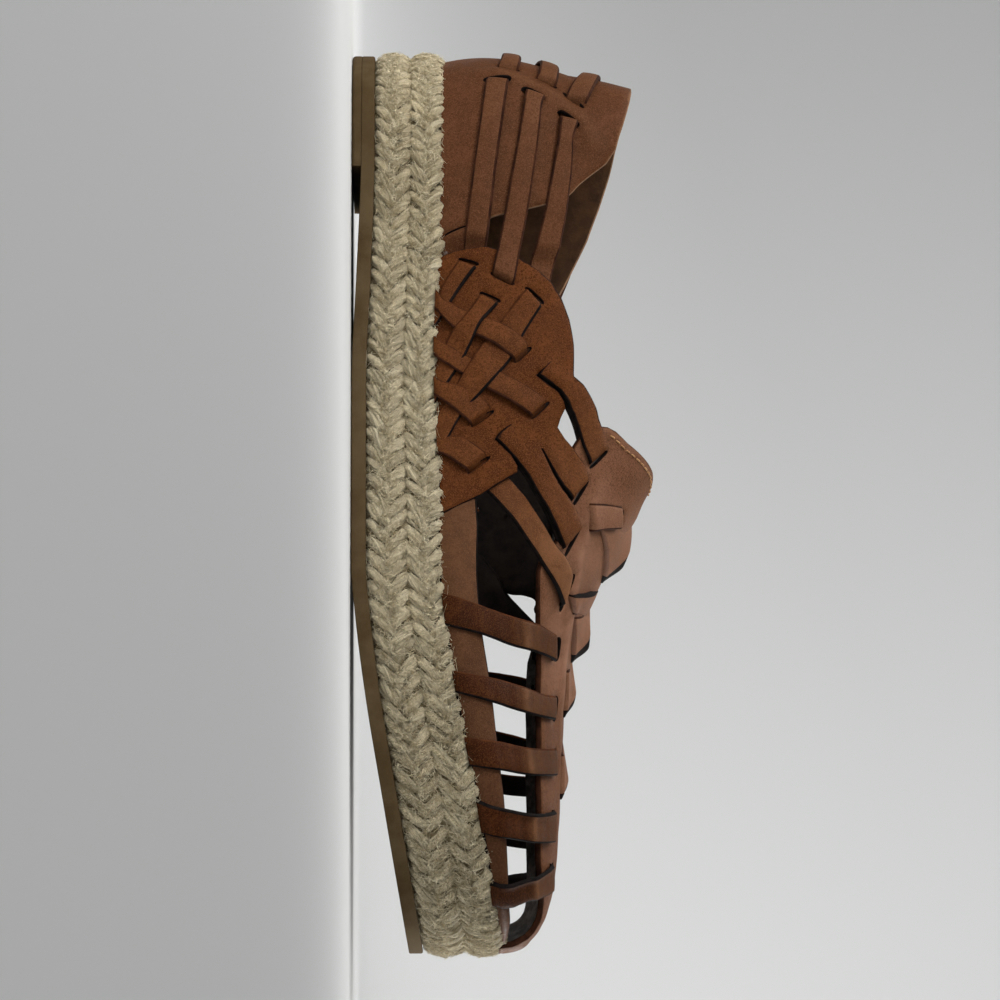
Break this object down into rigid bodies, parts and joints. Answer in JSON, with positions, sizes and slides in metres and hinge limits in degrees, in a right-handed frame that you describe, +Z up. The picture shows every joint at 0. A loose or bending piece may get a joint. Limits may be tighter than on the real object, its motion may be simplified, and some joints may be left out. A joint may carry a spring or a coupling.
{
  "type": "espadrille",
  "caption": "Right-foot slip-on espadrille: woven leather cage upper with toe straps, side panels and tongue, on a braided jute platform with a rubber outsole and low heel lift.",
  "frame": {"origin": "on the floor, under the middle of the shoe's box", "axes": "+Z up, +Y from heel to toe, +X to the outer (lateral) side of the right foot"},
  "size_m": [0.0944, 0.2569, 0.0839],
  "materials": {
    "rubber": "matte taupe sheet rubber",
    "jute": "natural braided jute, fuzzy",
    "footbed": "dark matte lining leather",
    "leather": "reddish brown, satin, fine grain, dark edges"
  },
  "bodies": {
    "root": {"heel_lift": "rubber", "outsole": "rubber", "midsole": "jute", "insole": "footbed", "upper": "leather"}
  },
  "joints": []
}
